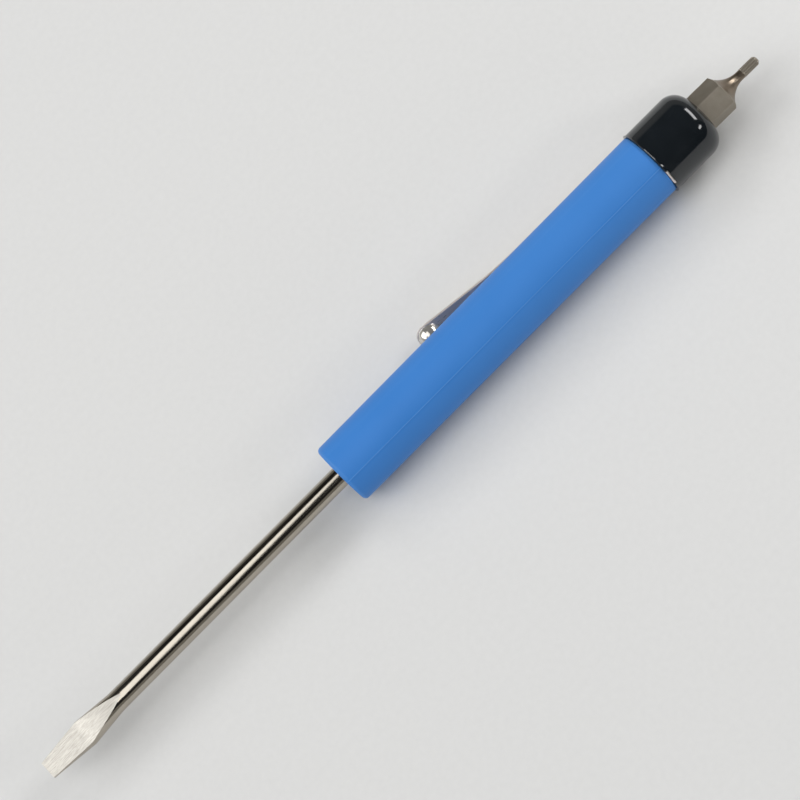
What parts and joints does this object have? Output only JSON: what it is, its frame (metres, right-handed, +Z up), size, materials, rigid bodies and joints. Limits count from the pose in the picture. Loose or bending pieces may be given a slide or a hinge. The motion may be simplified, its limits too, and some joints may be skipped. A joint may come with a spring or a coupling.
{
  "type": "pocket screwdriver",
  "caption": "Slim pocket screwdriver: a slotted steel blade in a round plastic handle with a spring pocket clip, and a pull-out hex bit with a six-lobe tip in a black end cap.",
  "frame": {"origin": "on the floor, under the middle of the lying tool's box", "axes": "+X along the tool from the slotted blade to the hex bit, +Y towards the clip's side, +Z up from the floor that the tool lies on"},
  "size_m": [0.1702, 0.0166, 0.0131],
  "materials": {
    "handle_plastic": "satin blue moulded plastic",
    "blade_steel": "plated shank with ground flats",
    "clip_steel": "bright plated spring steel",
    "cap_plastic": "glossy black moulded plastic",
    "magnet": "nickel plated",
    "bit_steel": "bead-blasted tool steel"
  },
  "bodies": {
    "tool": {"handle": "handle_plastic", "blade": "blade_steel", "clip_ring": "clip_steel", "end_cap": "cap_plastic", "bit_magnet": "magnet"},
    "clip_spring": {"clip_arm": "clip_steel"},
    "bit": {"driver_bit": "bit_steel"}
  },
  "joints": [
    {"name": "clip_flex", "type": "hinge", "parent": "tool", "child": "clip_spring", "pos_m": [0.04383, 0.00404, 0.00368], "axis": [0, -0.4463, -0.8949], "range_deg": [0, 6], "stiffness_Nm_per_rad": 0.2},
    {"name": "bit_pull", "type": "slide", "parent": "tool", "child": "bit", "axis": [1, 0, 0], "range_m": [0, 0.016]}
  ]
}
